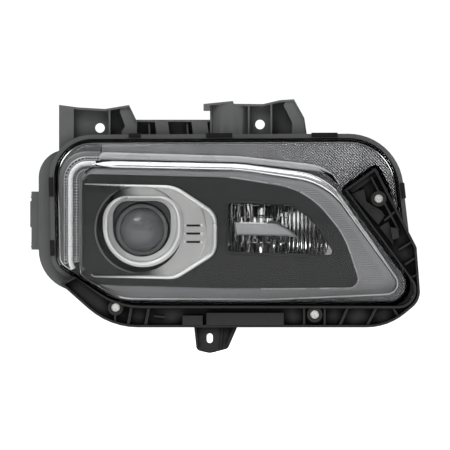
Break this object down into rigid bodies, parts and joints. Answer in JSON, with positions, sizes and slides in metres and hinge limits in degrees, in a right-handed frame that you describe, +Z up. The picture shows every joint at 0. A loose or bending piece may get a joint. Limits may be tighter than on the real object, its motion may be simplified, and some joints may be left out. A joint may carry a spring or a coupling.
{
  "type": "headlight",
  "caption": "Car headlight for one side: clear lens, tilting projector, turn-signal reflector, running-light guide, sealed housing and bumper bracket.",
  "frame": {"origin": "on the axis of the outboard upper mounting hole, at the front face of its tab", "axes": "+X towards the middle of the car, +Y into the car (the lens faces -Y), +Z up"},
  "size_m": [0.4477, 0.196, 0.2917],
  "materials": {
    "housing": "matte moulded polypropylene, dark grey",
    "seal_bead": "black butyl sealant",
    "outer_lens": "clear hard-coated polycarbonate",
    "lens_clips": "black plastic",
    "main_bezel": "fine-grained dark grey plastic",
    "bezel_screws": "zinc-plated steel",
    "satin_trim": "satin metallic paint",
    "chrome_frame": "vacuum-metallised plastic",
    "projector_shroud": "satin silver metallising with a polished rim",
    "upper_panel": "fine crosshatched silver-grey plastic",
    "diffuser_strip": "frosted milky plastic",
    "light_guide": "clear acrylic with fine notches",
    "guide_tray": "toothed silver-grey plastic",
    "led_board": "green circuit board",
    "led_heat_sink": "bare aluminium",
    "led_lead": "black cable sheath",
    "turn_reflector": "vacuum-metallised plastic",
    "turn_bulb_shield": "silver painted plastic",
    "turn_bulb": "clear glass",
    "turn_socket": "grey plastic",
    "turn_socket_seal": "orange silicone rubber",
    "bumper_bracket": "black moulded plastic",
    "bracket_screws": "zinc-plated steel",
    "driver_cover": "dark grey moulded plastic",
    "driver_cover_screws": "zinc-plated steel",
    "main_connector": "black plastic",
    "connector_pins": "tinned brass",
    "vent_elbows": "black rubber",
    "pivot_sockets": "white acetal",
    "aim_screw": "zinc-plated steel",
    "low_beam_cap": "black plastic",
    "cap_seal": "black rubber",
    "carrier": "die-cast aluminium",
    "aim_nut": "white acetal",
    "projector_bowl": "metallised aluminium",
    "lens_holder": "black plastic",
    "projector_lens": "clear glass",
    "projector_screws": "zinc-plated steel",
    "low_beam_glass": "clear quartz glass",
    "low_beam_base": "nickel-plated steel",
    "bulb_plug": "black plastic",
    "cutoff_shutter": "blackened sheet steel",
    "shutter_pin": "ground steel",
    "solenoid": "black plastic over a coil",
    "plunger": "ground steel"
  },
  "bodies": {
    "lamp": {"housing": "housing", "seal_bead": "seal_bead", "outer_lens": "outer_lens", "lens_clips": "lens_clips", "main_bezel": "main_bezel", "bezel_screws": "bezel_screws", "satin_trim": "satin_trim", "chrome_frame": "chrome_frame", "projector_shroud": "projector_shroud", "upper_panel": "upper_panel", "diffuser_strip": "diffuser_strip", "light_guide": "light_guide", "guide_tray": "guide_tray", "led_board": "led_board", "led_heat_sink": "led_heat_sink", "led_lead": "led_lead", "turn_reflector": "turn_reflector", "turn_bulb_shield": "turn_bulb_shield", "bumper_bracket": "bumper_bracket", "bracket_screws": "bracket_screws", "driver_cover": "driver_cover", "driver_cover_screws": "driver_cover_screws", "main_connector": "main_connector", "connector_pins": "connector_pins", "vent_elbows": "vent_elbows", "pivot_sockets": "pivot_sockets"},
    "aimer": {"aim_screw": "aim_screw"},
    "cap": {"low_beam_cap": "low_beam_cap", "cap_seal": "cap_seal"},
    "turn_lamp": {"turn_bulb": "turn_bulb", "turn_socket": "turn_socket", "turn_socket_seal": "turn_socket_seal"},
    "projector": {"carrier": "carrier", "aim_nut": "aim_nut", "projector_bowl": "projector_bowl", "lens_holder": "lens_holder", "projector_lens": "projector_lens", "projector_screws": "projector_screws", "low_beam_glass": "low_beam_glass", "low_beam_base": "low_beam_base", "bulb_plug": "bulb_plug", "solenoid": "solenoid", "shutter_pin": "shutter_pin"},
    "shutter": {"cutoff_shutter": "cutoff_shutter"},
    "plunger_body": {"plunger": "plunger"}
  },
  "joints": [
    {"name": "projector_tilt", "type": "hinge", "parent": "lamp", "child": "projector", "pos_m": [0.0485, 0.006, -0.085], "axis": [1, 0, 0], "range_deg": [-2.5, 2.5]},
    {"name": "aim_screw_turn", "type": "hinge", "parent": "lamp", "child": "aimer", "pos_m": [0.0745, 0.11, -0.157], "axis": [0, 1, 0], "range_deg": [-283, 283]},
    {"name": "shutter_flip", "type": "hinge", "parent": "projector", "child": "shutter", "pos_m": [0.0485, -0.006, -0.141], "axis": [-1, 0, 0], "range_deg": [0, 20], "stiffness_Nm_per_rad": 0.05, "springref_deg": -17.19},
    {"name": "plunger_slide", "type": "slide", "parent": "projector", "child": "plunger_body", "axis": [0, -1, 0], "range_m": [0, 0.0088]},
    {"name": "cap_twist", "type": "hinge", "parent": "lamp", "child": "cap", "pos_m": [0.0485, 0.11, -0.117], "axis": [0, 1, 0], "range_deg": [0, 30]},
    {"name": "turn_socket_twist", "type": "hinge", "parent": "lamp", "child": "turn_lamp", "pos_m": [0.2, 0.05, -0.117], "axis": [0, -1, 0], "range_deg": [0, 60]}
  ],
  "couplings": [
    {"joint": "aim_screw_turn", "follows": "projector_tilt", "ratio": -113.1},
    {"joint": "plunger_slide", "follows": "shutter_flip", "m_per_rad": 0.025}
  ]
}
